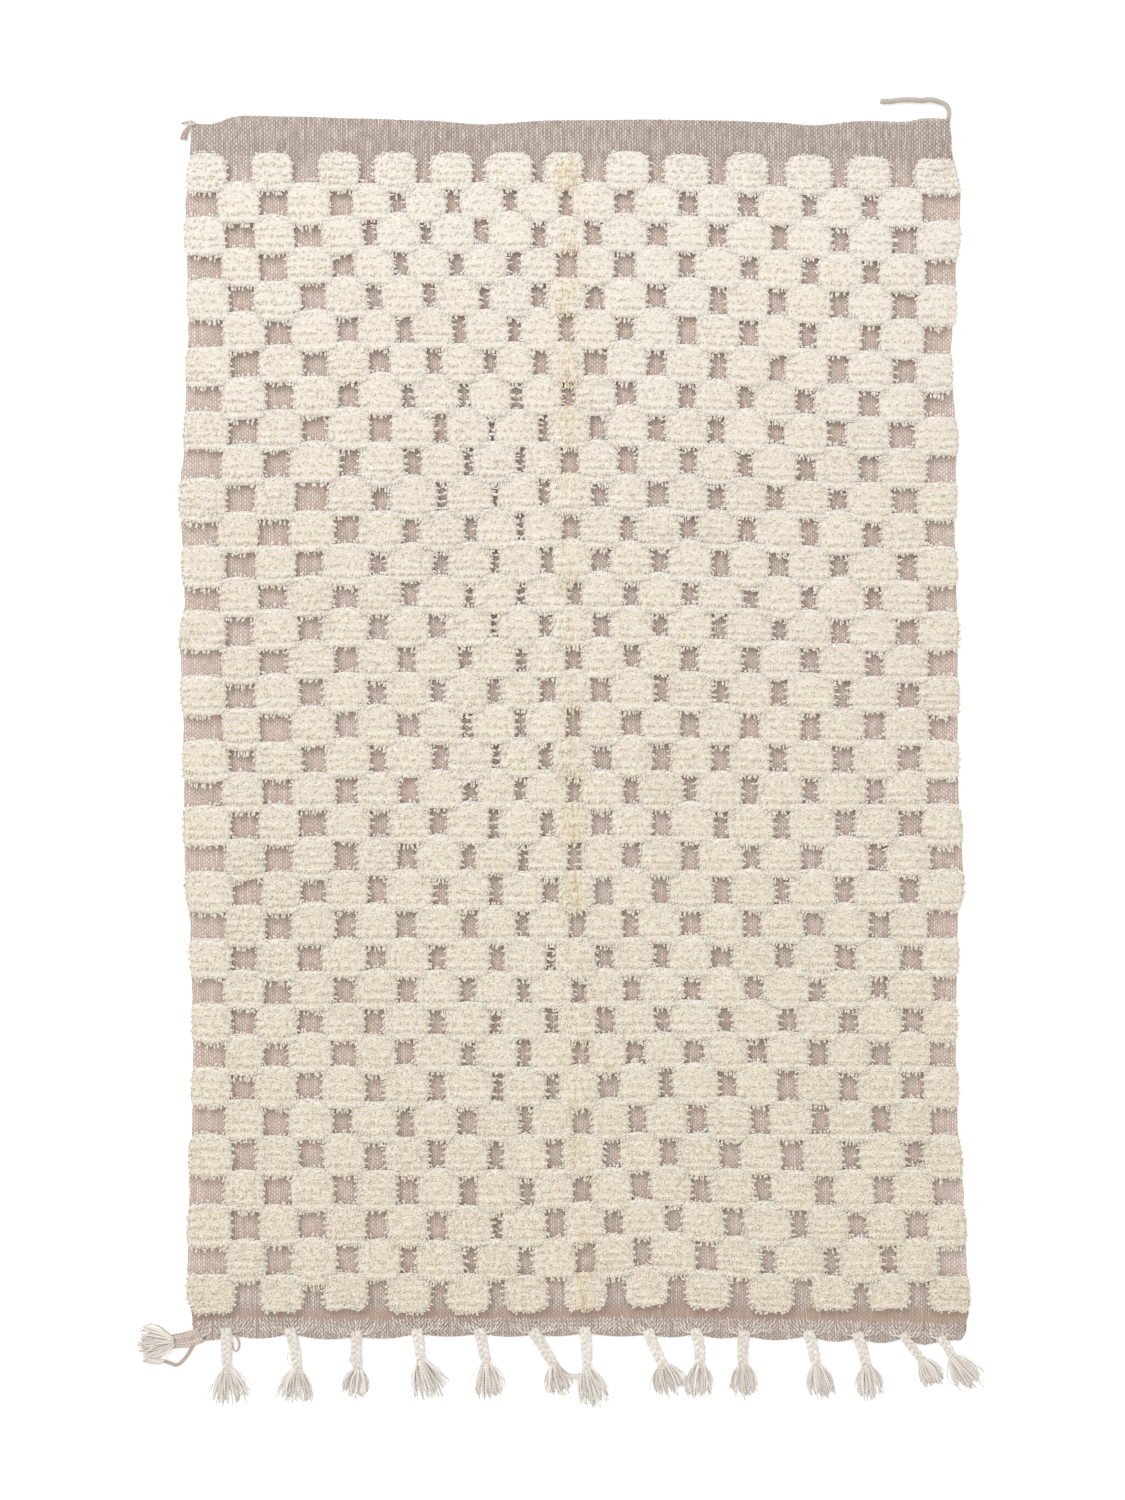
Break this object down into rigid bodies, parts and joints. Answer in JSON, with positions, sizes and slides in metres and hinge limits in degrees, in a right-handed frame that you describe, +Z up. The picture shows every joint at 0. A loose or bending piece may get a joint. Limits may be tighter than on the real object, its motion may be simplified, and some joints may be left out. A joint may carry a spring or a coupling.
{
  "type": "flatweave rug with knotted pile blocks",
  "caption": "Flat wool rug with raised cut-pile blocks in a checker on a woven ground, and braided tassels along one end.",
  "frame": {"origin": "on the floor, under the centre of the rug with its tassels", "axes": "+X across the rug to the right, +Y along it from the tassels to the plain end, +Z up out of the pile"},
  "size_m": [1.7444, 2.7185, 0.0255],
  "materials": {
    "wool": "cream cut wool pile",
    "ground_yarn": "matt mauve-taupe plain weave",
    "warp_yarn": "undyed ivory and grey yarn"
  },
  "bodies": {
    "root": {"rug": "wool", "end_fringe": "warp_yarn", "corner_tuft": "ground_yarn", "corner_cord": "warp_yarn"}
  },
  "joints": []
}
